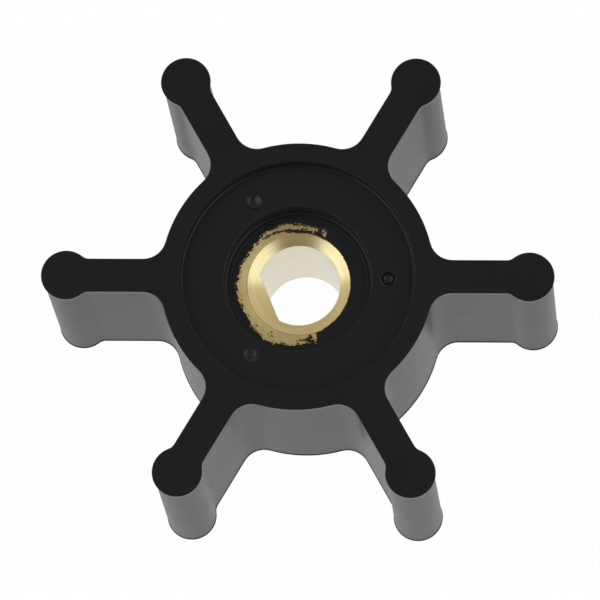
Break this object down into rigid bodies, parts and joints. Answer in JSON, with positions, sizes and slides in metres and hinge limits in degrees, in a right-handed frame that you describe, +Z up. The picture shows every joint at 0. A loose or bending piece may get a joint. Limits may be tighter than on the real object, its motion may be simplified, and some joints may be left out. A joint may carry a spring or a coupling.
{
  "type": "flexible pump impeller",
  "caption": "Flexible rubber pump impeller: straight bead-tipped vanes round a dished hub, moulded on a brass bush whose bore has one drive flat.",
  "frame": {"origin": "on the axis, in the plane of the lower end face, at the middle of the hub", "axes": "+Z up along the shaft axis, towards the end with the three pin marks; +X along one vane"},
  "size_m": [0.051, 0.0448, 0.0212],
  "materials": {
    "rubber": "moulded, smooth, satin black",
    "brass": "turned, fine concentric tool lines, unpolished"
  },
  "bodies": {
    "root": {"impeller_body": "rubber", "drive_bush": "brass"}
  },
  "joints": []
}
